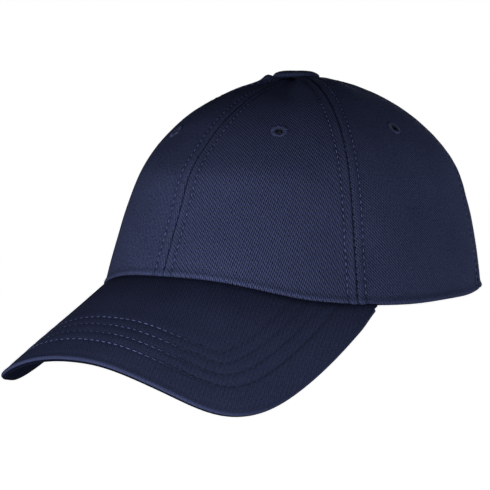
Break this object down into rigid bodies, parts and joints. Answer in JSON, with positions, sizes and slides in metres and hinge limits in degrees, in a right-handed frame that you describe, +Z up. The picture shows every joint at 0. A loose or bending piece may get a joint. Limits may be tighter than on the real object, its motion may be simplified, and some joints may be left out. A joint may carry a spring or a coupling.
{
  "type": "baseball cap",
  "caption": "Fabric baseball cap with a domed panelled crown, curved stiff bill, covered top button, embroidered eyelets and a strap back with a flip-lever buckle.",
  "frame": {"origin": "centre of the head opening, in the plane of the rim", "axes": "+Z up through the crown; -Y toward the bill, so +Y is the back; +X is the wearer's left"},
  "size_m": [0.168, 0.269, 0.1528],
  "materials": {
    "twill": "navy cotton twill",
    "thread": "satin stitched embroidery thread",
    "buckram": "stiff open weave, dyed dark",
    "seam_tape": "plain woven tape",
    "board": "moulded polyethylene",
    "sweatband": "folded cotton twill",
    "foam": "thin foam strip",
    "label": "woven, blank",
    "buckle_metal": "antique nickel",
    "button_metal": "plain stamped steel"
  },
  "bodies": {
    "cap": {"panel_front_left": "twill", "panel_front_right": "twill", "panel_side_left": "twill", "panel_side_right": "twill", "panel_back_left": "twill", "panel_back_right": "twill", "bill_top_cover": "twill", "bill_bottom_cover": "twill", "button_cover": "twill", "buckle_tab": "twill", "opening_binding": "twill", "stiffener_left": "buckram", "stiffener_right": "buckram", "eyelet_front_left": "thread", "eyelet_front_right": "thread", "eyelet_side_left": "thread", "eyelet_side_right": "thread", "eyelet_back_left": "thread", "eyelet_back_right": "thread", "tape_front_side_left": "seam_tape", "tape_front_side_right": "seam_tape", "tape_back_side_left": "seam_tape", "tape_back_side_right": "seam_tape", "tape_centre_front": "seam_tape", "tape_centre_back": "seam_tape", "bill_board": "board", "sweatband": "sweatband", "sweatband_foam": "foam", "size_label": "label", "care_label": "label", "buckle_frame": "buckle_metal", "buckle_pin": "buckle_metal", "button_shell": "button_metal", "button_stem": "button_metal", "button_washer": "button_metal"},
    "strap": {"strap": "twill"},
    "lever": {"buckle_lever": "buckle_metal"}
  },
  "joints": [
    {"name": "lever_flip", "type": "hinge", "parent": "cap", "child": "lever", "pos_m": [0.02244, 0.09527, 0.01251], "axis": [0.0541, 0.1885, -0.9806], "range_deg": [0, 100]},
    {"name": "strap_slide", "type": "hinge", "parent": "cap", "child": "strap", "pos_m": [0, 0.017, 0.0122], "axis": [0, 0, -1], "range_deg": [-8, 9]}
  ]
}
